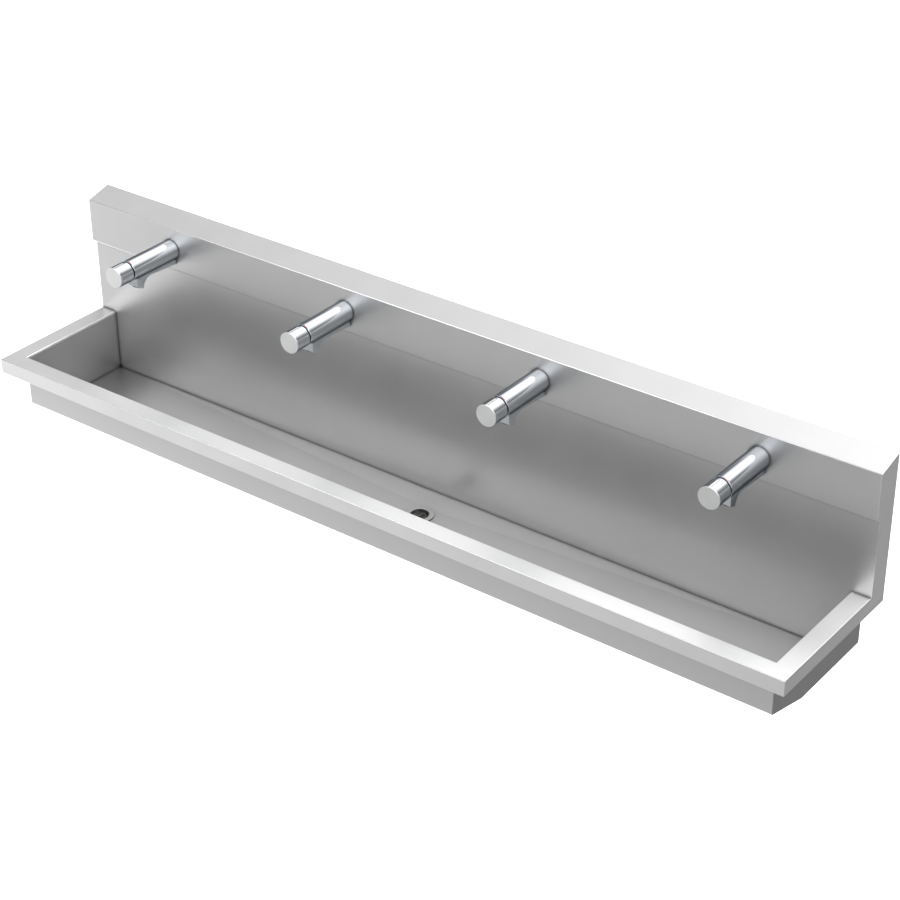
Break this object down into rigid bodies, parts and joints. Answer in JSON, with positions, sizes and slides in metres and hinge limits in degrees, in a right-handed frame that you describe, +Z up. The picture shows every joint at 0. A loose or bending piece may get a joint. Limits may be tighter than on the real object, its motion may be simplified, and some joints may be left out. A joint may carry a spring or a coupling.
{
  "type": "trough sink",
  "caption": "Long wall-hung washing trough in folded stainless sheet with a boxed splashback, a sloped floor to a waste outlet and push-button mixer taps with turning caps.",
  "frame": {"origin": "centre of the rectangle of wall-fixing bolt holes, in the plane of the wall", "axes": "+X along the trough, to the right seen from the front; +Y into the wall; +Z up"},
  "size_m": [2.4, 0.447, 0.6298],
  "materials": {
    "stainless": "brushed",
    "bracket_steel": "zinc plated",
    "copper_pipe": "drawn",
    "clip_plastic": "moulded",
    "brass": "turned",
    "rubber": "moulded",
    "hot_enamel": "enamelled",
    "cold_enamel": "enamelled",
    "waste_plastic": "moulded",
    "chrome": "polished",
    "satin_chrome": "satin",
    "aerator_plastic": "moulded",
    "valve_plastic": "moulded",
    "spring_steel": "drawn"
  },
  "bodies": {
    "trough": {"trough_pan": "stainless", "splashback": "stainless", "front_rim": "stainless", "end_left": "stainless", "end_right": "stainless", "basin_end_left": "stainless", "basin_end_right": "stainless", "hanging_rail": "bracket_steel", "wall_bracket_left": "bracket_steel", "wall_bracket_right": "bracket_steel", "hot_rail": "copper_pipe", "cold_rail": "copper_pipe", "rail_clips": "clip_plastic", "inlet_blocks": "brass", "back_nuts": "brass", "tap_gaskets": "rubber", "hot_marks": "hot_enamel", "cold_marks": "cold_enamel", "waste_flange": "stainless", "waste_strainer": "stainless", "waste_screw": "stainless", "waste_seals": "rubber", "waste_body": "waste_plastic", "waste_tail": "waste_plastic", "tap_body_1": "chrome", "spout_1": "chrome", "aerator_1": "aerator_plastic", "cartridge_1": "valve_plastic", "tap_body_2": "chrome", "spout_2": "chrome", "aerator_2": "aerator_plastic", "cartridge_2": "valve_plastic", "tap_body_3": "chrome", "spout_3": "chrome", "aerator_3": "aerator_plastic", "cartridge_3": "valve_plastic", "tap_body_4": "chrome", "spout_4": "chrome", "aerator_4": "aerator_plastic", "cartridge_4": "valve_plastic"},
    "selector_1": {"stem_1": "brass", "return_spring_1": "spring_steel"},
    "button_1": {"cap_1": "chrome", "cap_face_1": "satin_chrome", "pointer_1": "chrome"},
    "selector_2": {"stem_2": "brass", "return_spring_2": "spring_steel"},
    "button_2": {"cap_2": "chrome", "cap_face_2": "satin_chrome", "pointer_2": "chrome"},
    "selector_3": {"stem_3": "brass", "return_spring_3": "spring_steel"},
    "button_3": {"cap_3": "chrome", "cap_face_3": "satin_chrome", "pointer_3": "chrome"},
    "selector_4": {"stem_4": "brass", "return_spring_4": "spring_steel"},
    "button_4": {"cap_4": "chrome", "cap_face_4": "satin_chrome", "pointer_4": "chrome"}
  },
  "joints": [
    {"name": "tap_1_temperature", "type": "hinge", "parent": "trough", "child": "selector_1", "pos_m": [-0.9, -0.252, 0.187], "axis": [0, 1, 0], "range_deg": [-40, 40]},
    {"name": "tap_1_press", "type": "slide", "parent": "selector_1", "child": "button_1", "axis": [0, 1, 0], "range_m": [0, 0.0045], "stiffness_N_per_m": 2000, "springref_m": -0.004, "deforming": ["return_spring_1"]},
    {"name": "tap_2_temperature", "type": "hinge", "parent": "trough", "child": "selector_2", "pos_m": [-0.3, -0.252, 0.187], "axis": [0, 1, 0], "range_deg": [-40, 40]},
    {"name": "tap_2_press", "type": "slide", "parent": "selector_2", "child": "button_2", "axis": [0, 1, 0], "range_m": [0, 0.0045], "stiffness_N_per_m": 2000, "springref_m": -0.004, "deforming": ["return_spring_2"]},
    {"name": "tap_3_temperature", "type": "hinge", "parent": "trough", "child": "selector_3", "pos_m": [0.3, -0.252, 0.187], "axis": [0, 1, 0], "range_deg": [-40, 40]},
    {"name": "tap_3_press", "type": "slide", "parent": "selector_3", "child": "button_3", "axis": [0, 1, 0], "range_m": [0, 0.0045], "stiffness_N_per_m": 2000, "springref_m": -0.004, "deforming": ["return_spring_3"]},
    {"name": "tap_4_temperature", "type": "hinge", "parent": "trough", "child": "selector_4", "pos_m": [0.9, -0.252, 0.187], "axis": [0, 1, 0], "range_deg": [-40, 40]},
    {"name": "tap_4_press", "type": "slide", "parent": "selector_4", "child": "button_4", "axis": [0, 1, 0], "range_m": [0, 0.0045], "stiffness_N_per_m": 2000, "springref_m": -0.004, "deforming": ["return_spring_4"]}
  ]
}
